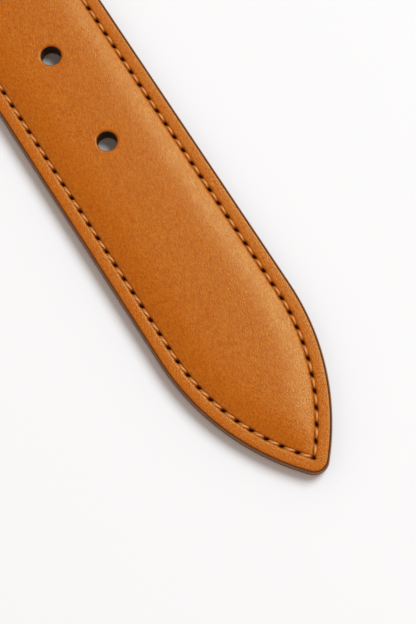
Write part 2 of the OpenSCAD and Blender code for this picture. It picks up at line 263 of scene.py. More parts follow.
def lining_under(s, y):
    """Height of the lining's outer side."""
    d, _ = inset(s, y)
    h = rounding(d - BEAD_W, 0.5, 0.22) + rounding(hole_distance(s, y) - HOLE_R, 0.5, 0.25)
    return h + 0.30 * groove(s, d) + 0.4 * pits(s, y, d)


# ---------- flat patterns ----------

class Pattern:
    """A flat leather pattern, gathered from grids of [s, y] points that are welded where they meet."""

    def __init__(self):
        self.points, self.faces, self.count = [], [], 0

    def grid(self, points, keep=None):
        """Adds a grid of points, with all its quads or those marked in keep."""
        rows, cols = points.shape[:2]
        ids = np.arange(rows * cols).reshape(rows, cols) + self.count
        quads = np.stack([ids[:-1, :-1], ids[1:, :-1], ids[1:, 1:], ids[:-1, 1:]], -1)
        quads = quads[keep] if keep is not None else quads.reshape(-1, 4)
        self.points.append(points.reshape(-1, 2))
        self.faces.append(quads.reshape(-1, 4))
        self.count += rows * cols

    def welded(self):
        """Welded points and faces, each face facing up on the flat strap."""
        points = np.concatenate(self.points)
        places = np.round(points / 1e-4).astype(np.int64)
        _, first, ids = np.unique(places, axis=0, return_index=True, return_inverse=True)
        points = points[first]
        faces, used = [], np.zeros(len(points), bool)
        for quad in ids.ravel()[np.concatenate(self.faces)]:
            ring = [a for a, b in zip(quad, np.roll(quad, 1)) if a != b]
            if len(set(ring)) < 3:
                continue
            p = points[ring]
            area = np.sum(p[:, 0] * np.roll(p[:, 1], -1) - np.roll(p[:, 0], -1) * p[:, 1])
            if abs(area) > 1e-7:
                faces.append(ring if area < 0 else ring[::-1])
                used[ring] = True
        order = np.cumsum(used) - 1
        return points[used], [[int(order[i]) for i in ring] for ring in faces]


def insets_across():
    """Insets of the pattern's lines from its edge to the middle of the strap, close at rim and stitches."""
    rim = BEAD_W + np.array([0, 0.04, 0.10, 0.19, 0.30, 0.42])
    margin = [1.25, 1.6, 1.95, 2.3, 2.65]
    row = [2.95, 3.12, 3.27, 3.4, 3.5, 3.6, 3.7, 3.8, 3.93, 4.08, 4.25]
    slope = [4.5, 4.85, 5.3, 5.85, 6.5, 7.3, 8.2, 9.3, 10.5, 11.7, 12.6]
    middle = [HALF_W - y for y in (4.1, 3.4, SLOT_Y, 2.1, 1.4, 0.7, 0)]
    return np.array([*rim, *margin, *row, *slope, *middle])


def stations():
    """Distances along the strap of the pattern's cross lines."""
    fine = np.arange(0, FINE_END, STEP)
    coarse_step = PITCH / COARSE_STEPS
    coarse = np.arange(np.ceil(FINE_END / coarse_step), (BAR_S - SLOT_U - 1) / coarse_step) * coarse_step
    marks = BAR_S - np.array([SLOT_U, 6.0, 4.5, 3.0, 1.5, 0])
    fold = np.linspace(BAR_S, FOLD_END_S, 17)[1:]
    back = FOLD_END_S + np.array([1, 2, 3, 4, 5, 6, SLOT_U, *np.arange(10.5, TURNBACK_LEN - 0.8, 1.5)])
    end = END_S - np.array([0.5, 0.25, 0.1, 0])
    return np.unique(np.concatenate([fine, coarse, marks, fold, back, end]))


def hole_patch(pattern, s, across, hs):
    """Rings that lead from a rectangle of the pattern's lines down to a round hole at s = hs."""
    low, high = across[0], across[-1]
    ring = np.concatenate([
        np.stack([s[:-1], np.full(len(s) - 1, low)], -1),
        np.stack([np.full(len(across) - 1, s[-1]), across[:-1]], -1),
        np.stack([s[:0:-1], np.full(len(s) - 1, high)], -1),
        np.stack([np.full(len(across) - 1, s[0]), across[:0:-1]], -1)])
    angle = np.arctan2(ring[:, 1], ring[:, 0] - hs)
    circle = np.stack([np.cos(angle), np.sin(angle)], -1)
    centre = np.array([hs, 0.0])
    rims = HOLE_R + np.array([0.9, 0.7, 0.54, 0.40, 0.27, 0.16, 0.08, 0.02, 0])
    outer = centre + circle * rims[0]
    loops = [ring + (outer - ring) * t for t in (0, 0.4, 0.75)] + [centre + circle * r for r in rims]
    pattern.grid(np.stack([np.concatenate([loop, loop[:1]]) for loop in loops]))


def add_run(pattern, lines):
    """The pattern from the taper to the end of the turnback, with its holes and the prong's slot."""
    half = HALF_W - lines
    across = np.concatenate([-half, half[-2::-1]])
    s = stations()
    grid = np.stack(np.meshgrid(s, across, indexing="ij"), -1)
    keep = np.ones((len(s) - 1, len(across) - 1), bool)
    mid_s, mid_y = (s[1:] + s[:-1]) / 2, (across[1:] + across[:-1]) / 2
    slot = (mid_s > BAR_S - SLOT_U) & (mid_s < FOLD_END_S + SLOT_U)
    keep[np.ix_(slot, np.abs(mid_y) < SLOT_Y)] = False
    middle = np.flatnonzero(np.abs(across) < SLOT_Y + 0.01)
    curve = SLOT_Y - np.sqrt(np.clip(SLOT_Y**2 - across[middle] ** 2, 0, None))
    for end, way in ((BAR_S - SLOT_U, 1), (FOLD_END_S + SLOT_U, -1)):
        grid[np.argmin(np.abs(s - end)), middle, 0] += way * curve
    patch_reach = 4.1
    for hx in HOLES_X:
        hs = TAPER_X - hx
        rows = np.flatnonzero(np.abs(mid_s - hs) < patch_reach)
        cols = np.flatnonzero(np.abs(mid_y) < patch_reach)
        keep[np.ix_(rows, cols)] = False
        hole_patch(pattern, s[rows[0]:rows[-1] + 2], across[cols[0]:cols[-1] + 2], hs)
    pattern.grid(grid, keep)


def add_tip(pattern, lines):
    """The pattern of the tip: both tapering sides, mitred along the middle, and the rounded point."""
    turns = np.pi / 2 - np.arange(0, int(TAPER_PITCHES * STEPS)) * STEP / STITCH_R
    turns = np.concatenate([turns, [APEX_ANGLE, POINT_ANGLE]])
    rounds = np.linspace(POINT_ANGLE, 0, 15)
    for side in (1, -1):
        depth = TAPER_R - ARC_Y / np.sin(turns)
        r = TAPER_R - np.minimum(lines[None, :], depth[:, None])
        y = side * (r * np.sin(turns)[:, None] - ARC_Y)
        pattern.grid(np.stack([-r * np.cos(turns)[:, None], y], -1))
        r = POINT_R - np.minimum(lines[None, :], POINT_R) + 0 * rounds[:, None]
        px = POINT_X + r * np.cos(rounds)[:, None]
        pattern.grid(np.stack([TAPER_X - px, side * r * np.sin(rounds)[:, None]], -1))


def leather_pattern():
    """Pattern of a whole layer from the tip to the end of the turnback."""
    pattern = Pattern()
    lines = insets_across()
    add_run(pattern, lines)
    add_tip(pattern, lines)
    return pattern.welded()


# ---------- mesh making ----------

def new_piece(name, points, faces, slot_name, material, body, replaced=()):
    """A smooth-shaded mesh object from points in mm, riding on a body."""
    mesh = bpy.data.meshes.new(name)
    mesh.from_pydata((np.asarray(points) * MM).tolist(), [], [list(map(int, f)) for f in faces])
    mesh.validate()
    shells = bmesh.new()
    shells.from_mesh(mesh)
    bmesh.ops.recalc_face_normals(shells, faces=shells.faces)
    shells.to_mesh(mesh)
    shells.free()
    mesh.polygons.foreach_set("use_smooth", [True] * len(mesh.polygons))
    mesh.update()
    piece = bpy.data.objects.new(name, mesh)
    bpy.context.scene.collection.objects.link(piece)
    mesh.materials.append(material)
    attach(piece, body)
    if replaced:
        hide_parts(*replaced)
    return piece


def paint(piece, name, values):
    """Stores one number per point for the piece's material."""
    layer = piece.data.attributes.new(name, "FLOAT", "POINT")
    layer.data.foreach_set("value", np.asarray(values, np.float32))


def closed_sheet(points, faces, top, bottom):
    """Points and faces of a sheet with thickness: its pattern at two heights, joined all round."""
    s, y = points[:, 0], points[:, 1]
    count = len(points)
    solid = np.concatenate([strap_point(s, y, top), strap_point(s, y, bottom)])
    edges = {}
    for face in faces:
        for a, b in zip(face, face[1:] + face[:1]):
            edges[(a, b)] = True
    walls = [(a, a + count, b + count, b) for a, b in edges if (b, a) not in edges]
    under = [[i + count for i in reversed(face)] for face in faces]
    return solid, [*faces, *under, *walls]


def ring_faces(rings, size, start=0, closed=False):
    """Quads between successive rings of points, with flat caps on an open run."""
    faces = []
    last = rings if closed else rings - 1
    for i in range(last):
        a, b = start + i * size, start + ((i + 1) % rings) * size
        faces += [(a + k, a + (k + 1) % size, b + (k + 1) % size, b + k) for k in range(size)]
    if not closed:
        end = start + (rings - 1) * size
        faces.append(tuple(range(start + size - 1, start - 1, -1)))
        faces.append(tuple(range(end, end + size)))
    return faces


def lofted(rings):
    """Points and faces of an open run of rings."""
    return np.concatenate(rings), ring_faces(len(rings), len(rings[0]))


def oval(width, height, power):
    """Section with well-rounded corners, as [side, up] points. A lower power is squarer."""
    turn = np.linspace(0, 2 * np.pi, 24, endpoint=False)
    c, s = np.cos(turn), np.sin(turn)
    side = width / 2 * np.sign(c) * np.abs(c) ** power
    return np.stack([side, height / 2 * np.sign(s) * np.abs(s) ** power], -1)


def collar(bore, outer, width, soft):
    """Points and faces of a collar round the bar, from y = 0 to y = width, with its outer edges rounded."""
    corner = np.linspace(0, np.pi / 2, 6)
    around = np.linspace(0, 2 * np.pi, 48, endpoint=False)
    profile = [
        (bore, 0.0),
        *[(outer - soft + soft * np.sin(a), soft - soft * np.cos(a)) for a in corner],
        *[(outer - soft + soft * np.cos(a), width - soft + soft * np.sin(a)) for a in corner],
        (bore, width)]
    rings = [[(r * np.cos(a), y, r * np.sin(a)) for r, y in profile] for a in around]
    return np.array(rings).reshape(-1, 3), ring_faces(len(around), len(profile), closed=True)


def joined(parts):
    """Several closed shells as one list of points and faces."""
    points, faces, count = [], [], 0
    for more_points, more_faces in parts:
        points.append(more_points)
        faces += [tuple(i + count for i in face) for face in more_faces]
        count += len(more_points)
    return np.concatenate(points), faces


# ---------- materials: lengths in metres, scales in features per metre ----------

def new_material(name):
    """A new material, its nodes and links, and its shader."""
    material = bpy.data.materials.new(name)
    material.use_nodes = True
    nodes, links = material.node_tree.nodes, material.node_tree.links
    return material, nodes, links, nodes["Principled BSDF"]


def noise(nodes, links, scale, detail=3.0, roughness=0.55, stretch=None):
    """A noise texture in the object's own coordinates, and its factor."""
    place = nodes.new("ShaderNodeTexCoord")
    texture = nodes.new("ShaderNodeTexNoise")
    texture.inputs["Scale"].default_value = scale
    texture.inputs["Detail"].default_value = detail
    texture.inputs["Roughness"].default_value = roughness
    vector = place.outputs["Object"]
    if stretch:
        mapping = nodes.new("ShaderNodeMapping")
        mapping.inputs["Scale"].default_value = stretch
        links.new(vector, mapping.inputs["Vector"])
        vector = mapping.outputs["Vector"]
    links.new(vector, texture.inputs["Vector"])
    return texture.outputs["Fac"]


def cells(nodes, links, scale):
    """Distance to the nearest cell wall of a fine crackle."""
    place = nodes.new("ShaderNodeTexCoord")
    texture = nodes.new("ShaderNodeTexVoronoi")
    texture.feature = "DISTANCE_TO_EDGE"
    texture.inputs["Scale"].default_value = scale
    links.new(place.outputs["Object"], texture.inputs["Vector"])
    return texture.outputs["Distance"]


def ramp(nodes, links, factor, stops):
    """Maps a factor through stops of (position, (r, g, b)) or (position, number)."""
    node = nodes.new("ShaderNodeValToRGB")
    elements = node.color_ramp.elements
    while len(elements) < len(stops):
        elements.new(0.5)
    for element, (position, value) in zip(elements, stops):
        element.position = position
        element.color = (*(value if isinstance(value, tuple) else (value,) * 3), 1)
    links.new(factor, node.inputs["Fac"])
    return node.outputs["Color"]


def mix(nodes, links, factor, first, second):
    """Mixes two colours, each a socket or (r, g, b), by a factor that is a socket or a number."""
    node = nodes.new("ShaderNodeMix")
    node.data_type = "RGBA"
    for socket, value in ((node.inputs["Factor"], factor), (node.inputs[6], first), (node.inputs[7], second)):
        if isinstance(value, bpy.types.NodeSocket):
            links.new(value, socket)
        elif isinstance(value, tuple):
            socket.default_value = (*value, 1)
        else:
            socket.default_value = value
    return node.outputs[2]


def painted(nodes, name):
    """The number painted on the piece's points under this name."""
    node = nodes.new("ShaderNodeAttribute")
    node.attribute_name = name
    return node.outputs["Fac"]


def bump(nodes, links, shader, layers):
    """Stacks bumps on the shader, each (height, strength, distance)."""
    normal = None
    for height, strength, distance in layers:
        node = nodes.new("ShaderNodeBump")
        node.inputs["Strength"].default_value = strength
        node.inputs["Distance"].default_value = distance
        links.new(height, node.inputs["Height"])
        if normal:
            links.new(normal, node.inputs["Normal"])
        normal = node.outputs["Normal"]
    links.new(normal, shader.inputs["Normal"])


def leather(name, light, dark, shade_and_dye_colour, roughness, grain, gloss):
    """Leather: cloudy colour, fine flecked grain and pores; painted shade with duller gloss in creases,
    needle holes and round the holes, and dark dye with painted shade on the holes' walls.
    """
    material, nodes, links, shader = new_material(name)
    colour = ramp(nodes, links, noise(nodes, links, 28, 4), [(0.30, dark), (0.70, light)])
    pale = tuple(c * gain for c, gain in zip(light, (1.15, 1.50, 2.0)))
    worn = tuple(c * gain for c, gain in zip(dark, (0.86, 0.62, 0.48)))
    for scale, stretch in ((3800, None), (2800, (0.5, 1.6, 1))):
        fleck = noise(nodes, links, scale, 2, 0.6, stretch)
        colour = mix(nodes, links, 0.52, colour, ramp(nodes, links, fleck, [(0.43, worn), (0.57, pale)]))
    # Painted shade: mixed towards the near-black last colour at the stitches and round the holes; on the
    # holes' walls this is dark dye and painted shade together
    with_shade_and_dye = mix(nodes, links, painted(nodes, "shade_and_dye"), colour, shade_and_dye_colour)
    links.new(with_shade_and_dye, shader.inputs["Base Color"])
    patchy = noise(nodes, links, 260, 3)
    rough = ramp(nodes, links, patchy, [(0.3, roughness - 0.06), (0.7, roughness + 0.06)])
    links.new(rough, shader.inputs["Roughness"])
    # The same painted value dulls the gloss where shade is painted
    gleam = ramp(nodes, links, painted(nodes, "shade_and_dye"), [(0.0, gloss), (0.8, 0.04)])
    links.new(gleam, shader.inputs["Specular IOR Level"])
    shader.inputs["Specular Tint"].default_value = (0.93, 1.0, 0.42, 1)
    pores = ramp(nodes, links, cells(nodes, links, 2100), [(0.0, 0.0), (0.16, 1.0)])
    bump(nodes, links, shader, [
        (noise(nodes, links, 420, 4, 0.6), 0.35 * grain, 0.0002),
        (pores, 0.45 * grain, 0.00006),
        (noise(nodes, links, 5200, 2), 0.3 * grain, 0.00004)])
    return material


def edge_dressing():
    """Painted and burnished edge: brown, with darker lines where the layers meet and along its top, and
    painted shade on its side.
    """
    material, nodes, links, shader = new_material("edge_dressing")
    streak = noise(nodes, links, 300, 3, 0.6)
    colour = ramp(nodes, links, streak, [(0.3, (0.20, 0.074, 0.024)), (0.7, (0.30, 0.118, 0.044))])
    # Mixed towards near black by a painted value: the edge's dark lines, and painted shade on the bead's side
    colour = mix(nodes, links, painted(nodes, "line"), colour, (0.055, 0.020, 0.010))
    links.new(colour, shader.inputs["Base Color"])
    links.new(ramp(nodes, links, streak, [(0.3, 0.38), (0.7, 0.55)]), shader.inputs["Roughness"])
    shader.inputs["Specular IOR Level"].default_value = 0.22
    shader.inputs["Specular Tint"].default_value = (1.0, 0.75, 0.5, 1)
    bump(nodes, links, shader, [(noise(nodes, links, 900, 3), 0.4, 0.0001)])
    return material


def waxed_thread():
    """Thread: flecked, with painted shade between its strands and at the ends of a stitch."""
    material, nodes, links, shader = new_material("waxed_thread")
    fleck = noise(nodes, links, 3200, 3, 0.7)
    colour = ramp(nodes, links, fleck, [(0.3, (0.60, 0.215, 0.040)), (0.7, (0.85, 0.35, 0.092))])
    # Mixed towards near black by the painted shade between the strands and at the stitches' ends
    colour = mix(nodes, links, painted(nodes, "painted_shade"), colour, (0.16, 0.04, 0.008))
    links.new(colour, shader.inputs["Base Color"])
    shader.inputs["Roughness"].default_value = 0.5
    shader.inputs["Specular IOR Level"].default_value = 0.25
    bump(nodes, links, shader, [(fleck, 0.5, 0.00005)])
    return material


def metal(name, colour, rough, scratch):
    """Metal with faint polishing lines and slight tarnish."""
    material, nodes, links, shader = new_material(name)
    dull = tuple(0.82 * c for c in colour)
    tarnish = ramp(nodes, links, noise(nodes, links, 180, 4, 0.6), [(0.3, dull), (0.65, colour)])
    links.new(tarnish, shader.inputs["Base Color"])
    shader.inputs["Metallic"].default_value = 1.0
    lines = noise(nodes, links, 1500, 3, 0.6, (0.08, 1, 1))
    links.new(ramp(nodes, links, lines, [(0.3, rough), (0.7, rough + 0.14)]), shader.inputs["Roughness"])
    bump(nodes, links, shader, [(lines, scratch, 0.00003)])
    return material


def fibre_board(name, light, dark, scale):
    """Felt or bonded board, seen only on the walls of the holes."""
    material, nodes, links, shader = new_material(name)
    fleck = noise(nodes, links, scale, 5, 0.7)
    links.new(ramp(nodes, links, fleck, [(0.3, dark), (0.7, light)]), shader.inputs["Base Color"])
    links.new(ramp(nodes, links, fleck, [(0.3, 0.8), (0.7, 0.95)]), shader.inputs["Roughness"])
    bump(nodes, links, shader, [(fleck, 0.6, 0.0001)])
    return material


# Each leather's last colour is the near black of its painted shade and of the dye on the holes' walls
FACE_LEATHER = leather(
    "face_calf", light=(0.515, 0.110, 0.0030), dark=(0.465, 0.094, 0.0024), shade_and_dye_colour=(0.020, 0.006, 0.002),
    roughness=0.27, grain=0.8, gloss=0.45)
LINING_LEATHER = leather(
    "lining_calf", light=(0.60, 0.36, 0.18), dark=(0.50, 0.28, 0.13), shade_and_dye_colour=(0.16, 0.07, 0.03),
    roughness=0.62, grain=1.3, gloss=0.4)
EDGE = edge_dressing()
THREAD = waxed_thread()
BRASS = metal("polished_brass", (0.83, 0.64, 0.33), 0.16, 0.25)
STEEL = metal("plain_steel", (0.60, 0.59, 0.57), 0.28, 0.5)
# Felt and board are near black: dark dye on the holes' walls, and painted shade for the dark deep in the
# holes
FELT = fibre_board("filler_felt", (0.050, 0.018, 0.007), (0.024, 0.009, 0.004), 1800)
BOARD = fibre_board("bonded_board", (0.040, 0.015, 0.006), (0.020, 0.008, 0.004), 1200)


# ---------- the strap's leather ----------

def shade_and_dye_paint(s, y, d, rim_dark):
    """How dark the leather is painted: painted shade at the stitches and on the holes' rims, a dark line
    along the bead, and the holes' walls dark with dye and painted shade.
    """
    # Painted shade in the needle holes, the stitches' groove and the crease at the padding's foot
    near_row = 1.6 * pits(s, y, d) + 0.25 * groove(s, d) + 0.3 * seam(s, d)
    # A dark line where the leather meets the painted bead
    border = np.exp(-(((d - BEAD_W) / 0.14) ** 2))
    # Painted shade on the holes' rolled rims, and full darkness on their walls for dye and painted shade
    hole = hole_distance(s, y) - HOLE_R
    rim = rim_dark * np.exp(-((hole / 0.30) ** 2)) + (hole < 0.05)
    return np.clip(near_row + border + rim, 0, 1)


def make_leathers():
    """The face leather and the lining, cut from one pattern. Their inner sides are painted fully dark, which
    shows on the holes' walls as dye and painted shade.
    """
    pattern, quads = leather_pattern()
    s, y = pattern[:, 0], pattern[:, 1]
    d, _ = inset(s, y)
    inner = np.ones(len(s))

    points, faces = closed_sheet(pattern, quads, face_top(s, y), face_bottom(s, y))
    face = new_piece("face_leather", points, faces, "face_leather", FACE_LEATHER, "strap", ["strap_face"])
    # The underside is painted fully dark, for dye and painted shade on the holes' walls
    paint(face, "shade_and_dye", np.concatenate([shade_and_dye_paint(s, y, d, 0.5), inner]))

    points, faces = closed_sheet(pattern, quads, LINING_T * inner, lining_under(s, y))
    lining = new_piece(
        "lining_leather", points, faces, "lining_leather", LINING_LEATHER, "strap", ["strap_lining"])
    # The top is painted fully dark, for dye and painted shade on the holes' walls
    paint(lining, "shade_and_dye", np.concatenate([inner, shade_and_dye_paint(s, y, d, 0.3)]))


# ---------- painted edge ----------

def edge_section(top):
    """Section of the painted edge as [inset, height] points, and how dark it is painted at each: its lines,
    and painted shade on its side.
    """
    turn = np.linspace(0, np.pi, 29)
    c, s = np.cos(turn), np.sin(turn)
    t = 0.5 - 0.5 * np.sign(c) * np.abs(c) ** 0.85
    height = 0.10 + (top - 0.12) * t
    seams = [np.exp(-(((t - at) / 0.08) ** 2)) for at in (0.26, 0.60)]
    outer = BEAD_W * (1.0 - s ** 0.85) + 0.07 * sum(seams) + 0.01
    # Painted shade darkens the side below the rounded top; the seams and the strip along the top are the
    # edge's dark lines
    line = 0.3 * (t < 0.90) + 0.3 * seams[0] + 0.7 * seams[1] + (t > 0.982)
    back = np.stack([np.full(3, BEAD_W + 0.25), np.linspace(top - 0.4, 0.3, 3)], -1)
    section = np.concatenate([np.stack([outer, height], -1), back])
    return section, np.concatenate([np.clip(line, 0, 1), np.zeros(len(back))])


def outline_path():
    """Stations (s, side, kind, angle) of the outline, from the bar on one side round the tip to the other."""
    fine, coarse = np.arange(0, FINE_END, 0.9), np.arange(FINE_END, BAR_S, 1.6)
    run = np.unique(np.concatenate([fine, coarse, [BAR_S]]))
    taper = np.linspace(np.pi / 2, POINT_ANGLE, 46)[1:]
    back = np.linspace(POINT_ANGLE, np.pi / 2, 46)[1:]
    return [
        *[(s, 1.0, "side", 0.0) for s in run[::-1]],
        *[(0.0, 1.0, "taper", angle) for angle in taper],
        *[(0.0, 1.0, "point", angle) for angle in np.linspace(POINT_ANGLE, -POINT_ANGLE, 25)[1:]],
        *[(0.0, -1.0, "taper", angle) for angle in back],
        *[(s, -1.0, "side", 0.0) for s in run[1:]]]


def outline_point(station, d):
    """s and y at inset d from a station of the outline."""
    s, side, kind, angle = station
    if kind == "side":
        return s, side * (HALF_W - d)
    if kind == "taper":
        r = TAPER_R - d
        return -r * np.cos(angle), side * (r * np.sin(angle) - ARC_Y)
    r = POINT_R - d
    return TAPER_X - POINT_X - r * np.cos(angle), r * np.sin(angle)


def make_edge_bead():
    """The painted edge of the strap, all the way round the tip."""
    rings, lines = [], []
    for station in outline_path():
        section, line = edge_section(MARGIN_Z - (MARGIN_Z - TURNBACK_T) * thinning(station[0]))
        sy = np.array([outline_point(station, d) for d in section[:, 0]])
        rings.append(strap_point(sy[:, 0], sy[:, 1], section[:, 1]))
        lines.append(line)
    edge = new_piece("edge_bead", *lofted(rings), "edge_paint", EDGE, "strap", ["edge_paint"])
    paint(edge, "line", np.concatenate(lines))


def make_turnback_bead():
    """The painted edge of the turnback, along the fold and round its square end."""
    fold = np.linspace(BAR_S, FOLD_END_S, 17)
    back_s = np.concatenate([fold, FOLD_END_S + np.linspace(1.5, TURNBACK_LEN - 0.1, 36)])
    end_y = HALF_W - BEAD_W - 0.2
    section, line = edge_section(TURNBACK_T)
    d, h = section.T
    near = [strap_point(s, HALF_W - d, h) for s in back_s]
    end = [strap_point(END_S + 0.4 - d * 0.6, y, h) for y in np.linspace(end_y, -end_y, 24)]
    far = [strap_point(s, -(HALF_W - d), h) for s in back_s[::-1]]
    rings = [*near, *end, *far]
    edge = new_piece("turnback_bead", *lofted(rings), "edge_paint", EDGE, "strap", ["turnback_edge_paint"])
    paint(edge, "line", np.tile(line, len(rings)))


# ---------- stitches ----------

STRAND_POINTS = 8
AROUND = np.linspace(0, 2 * np.pi, STRAND_POINTS, endpoint=False)


def stitch_arch(t):
    """How full a stitch is and how far it has come up, from 0 at its two ends to 1 at its middle."""
    return np.sin(np.pi * t) ** 0.5 if 0 < t < 1 else 0.0


def stitch_rows(starts, place, fine_until, radius, dive):
    """Separate slanted stitches in both rows. place(q, side, offset, lift) gives points in mm."""
    points, faces, dark = [], [], []
    begin = 0
    for side in (1, -1):
        for start in starts:
            count = 15 if start < fine_until else 7
            for t in np.linspace(0, 1, count):
                arch = stitch_arch(t)
                strands = np.cos(2 * (AROUND - np.pi * 1.3 * t))
                thick = radius * (0.3 + 0.7 * arch) * (1 + 0.10 * strands)
                offset = 0.34 * (t - 0.5) * side + 1.05 * thick * np.cos(AROUND)
                lift = dive * (arch - 1) + 0.85 * thick * np.sin(AROUND)
                q = start + PITCH * (0.10 + 0.80 * t)
                points.append(place(np.full(STRAND_POINTS, q), side, offset, lift))
                # Painted shade between the strands, and at the stitch's ends where it goes into its hole
                dark.append(0.7 * np.clip(-strands, 0, 1) ** 2 + 0.8 * (1 - arch))
            faces += ring_faces(count, STRAND_POINTS, begin)
            begin += count * STRAND_POINTS
    return np.concatenate(points), faces, np.clip(np.concatenate(dark), 0, 1)


def on_face(q, side, offset, lift):
    """A point of a stitch on the face, with lift counted from just below the flat margin."""
    s, y = on_stitch_line(q, side, offset)
    return strap_point(s, y, MARGIN_Z - 0.14 + lift)


def on_lining(q, side, offset, lift):
    """A point of a stitch on the lining, never below the table."""
    s, y = on_stitch_line(q, side, offset)
    return strap_point(s, y, np.maximum(0.27 - lift, 0.01))


def make_strap_stitches():
    """Two rows on the face, with more points near the tip, and two on the lining."""
    starts = np.arange(0, TAPER_STITCH_LEN + STITCH_END_S - PITCH, PITCH)
    points, faces, painted_shade = stitch_rows(starts, on_face, fine_until=175.0, radius=0.34, dive=0.8)
    face_row = new_piece("face_stitches", points, faces, "thread", THREAD, "strap", ["face_thread"])
    paint(face_row, "painted_shade", painted_shade)
    points, faces, painted_shade = stitch_rows(starts, on_lining, fine_until=0.0, radius=0.32, dive=0.5)
    lining_row = new_piece("lining_stitches", points, faces, "thread", THREAD, "strap", ["lining_thread"])
    paint(lining_row, "painted_shade", painted_shade)


# ---------- buckle, measured from the middle of the bar ----------

AT_BAR = np.array([BAR_X, 0.0, BAR_Z])
BAR_R = 1.8
BOSS_R = 3.3

# The frame: half its clear width, the width of an arm, its thickness, its reach from the bar, the width of
# the end that the prong rests on, and the radius of its corners' centre line
ARM_IN = 18.3
ARM_W = 4.7
FRAME_T = 3.4
FRAME_LEN = 34.0
REST_W = 6.0
CORNER_R = 6.4

# The prong: its reach from the bar, and its widths at the root and the tip
PRONG_REACH = 34.8
PRONG_W = 4.6
PRONG_TIP_W = 2.8


def frame_path():
    """Centre line of the frame from boss to boss, with its outward direction and width at each station."""
    mid_y, end_x = ARM_IN + ARM_W / 2, REST_W / 2 - FRAME_LEN
    rows = [((x, mid_y), (0.0, 1.0), ARM_W) for x in np.linspace(-2.3, end_x + CORNER_R, 16)]
    for a in np.linspace(0, np.pi / 2, 13)[1:]:
        at = (end_x + CORNER_R - CORNER_R * np.sin(a), mid_y - CORNER_R + CORNER_R * np.cos(a))
        rows.append((at, (-np.sin(a), np.cos(a)), ARM_W + (REST_W - ARM_W) * smooth(0, np.pi / 2, a)))
    rows += [((end_x, y), (-1.0, 0.0), REST_W) for y in np.linspace(mid_y - CORNER_R, 0, 12)[1:]]
    back = [((x, -y), (ox, -oy), w) for (x, y), (ox, oy), w in rows[-2::-1]]
    return rows + back


def make_frame():
    """The frame: a bow with a boss on each end, which the bar is pressed into."""
    rings = []
    for (x, y), (ox, oy), width in frame_path():
        rings.append(np.array([(x + ox * u, y + oy * u, v) for u, v in oval(width, FRAME_T, 0.62)]))
    bosses = []
    for low in (ARM_IN, -ARM_IN - ARM_W):
        boss_points, boss_faces = collar(BAR_R, BOSS_R, ARM_W, 0.7)
        bosses.append((boss_points + np.array([0, low, 0]), boss_faces))
    points, faces = joined([lofted(rings), *bosses])
    new_piece("frame_metal", points + AT_BAR, faces, "buckle_metal", BRASS, "buckle", ["buckle_frame"])


def make_prong():
    """The prong: an eye round the bar and a bent, tapering shank with a rounded end."""
    run = np.linspace(2.4, 30.5, 20)
    nose = PRONG_REACH - 0.02 - 4.2 * np.cos(np.linspace(0.2, 1.0, 9) * np.pi / 2)
    x = np.concatenate([run, nose])
    high = np.interp(
        x, [0, 2.4, 6, 14, 24, 31, 33.5, PRONG_REACH], [3.0, 3.15, 3.9, 4.38, 4.15, 3.9, 3.2, 2.45])
    low = np.interp(x, [0, 2.4, 4, 26, PRONG_REACH], [-0.4, -0.2, 0.05, 1.8, 1.8])
    root, tip = PRONG_W - 0.1, PRONG_TIP_W
    width = np.interp(x, [0, 8, 33, PRONG_REACH], [root, root, tip + 0.05, tip - 0.5])
    rings = []
    for at, top, bottom, wide in zip(x, high, low, width):
        section = oval(wide, top - bottom, 0.7)
        rings.append(np.array([(-at, u, (top + bottom) / 2 + v) for u, v in section]))
    eye_points, eye_faces = collar(BAR_R + 0.06, BOSS_R, PRONG_W, 0.8)
    points, faces = joined([lofted(rings), (eye_points - np.array([0, PRONG_W / 2, 0]), eye_faces)])
    new_piece("prong_metal", points + AT_BAR, faces, "buckle_metal", BRASS, "prong", ["buckle_prong"])


# ---------- keeper ----------

# Length along the strap, thickness with and without the outer leather, and radius inside the corners
KEEPER_LEN = 12.0
KEEPER_T = 2.0
KEEPER_LINING_T = 0.9
KEEPER_R = 1.0

# The side nearest the bar, and the loop's inside: half its width, its lowest and its highest level
KEEPER_X = BAR_X + 30.5 - KEEPER_LEN / 2
KEEPER_Y = HALF_W + 0.5
KEEPER_LOW = BUCKLE_Z - TURNBACK_T - 0.4
KEEPER_HIGH = BUCKLE_Z + 2 * CROWN_Z + 0.6

# Distance of each ring of stitches from the keeper's side
ROW_INSET = 1.6


def keeper_loop(out, step):
    """Points and outward directions [y, z] round the keeper's loop, grown by out, about step apart."""
    y, low, high, r = KEEPER_Y + out, KEEPER_LOW - out, KEEPER_HIGH + out, KEEPER_R + out
    sides = [((y - r, low), (r - y, low), -90), ((-y, low + r), (-y, high - r), 180),
             ((r - y, high), (y - r, high), 90), ((y, high - r), (y, low + r), 0)]
    rows = []
    for (y0, z0), (y1, z1), facing in sides:
        count = max(2, int(np.hypot(y1 - y0, z1 - z0) / step))
        way = np.array([np.cos(np.radians(facing)), np.sin(np.radians(facing))])
        for t in np.linspace(0, 1, count, endpoint=False):
            rows.append(((y0 + (y1 - y0) * t, z0 + (z1 - z0) * t), way))
        for a in np.radians(facing - np.linspace(0, 90, 9)[:-1]):
            turn = np.array([np.cos(a), np.sin(a)])
            rows.append(((y1, z1) + r * (turn - way), turn))
    return rows


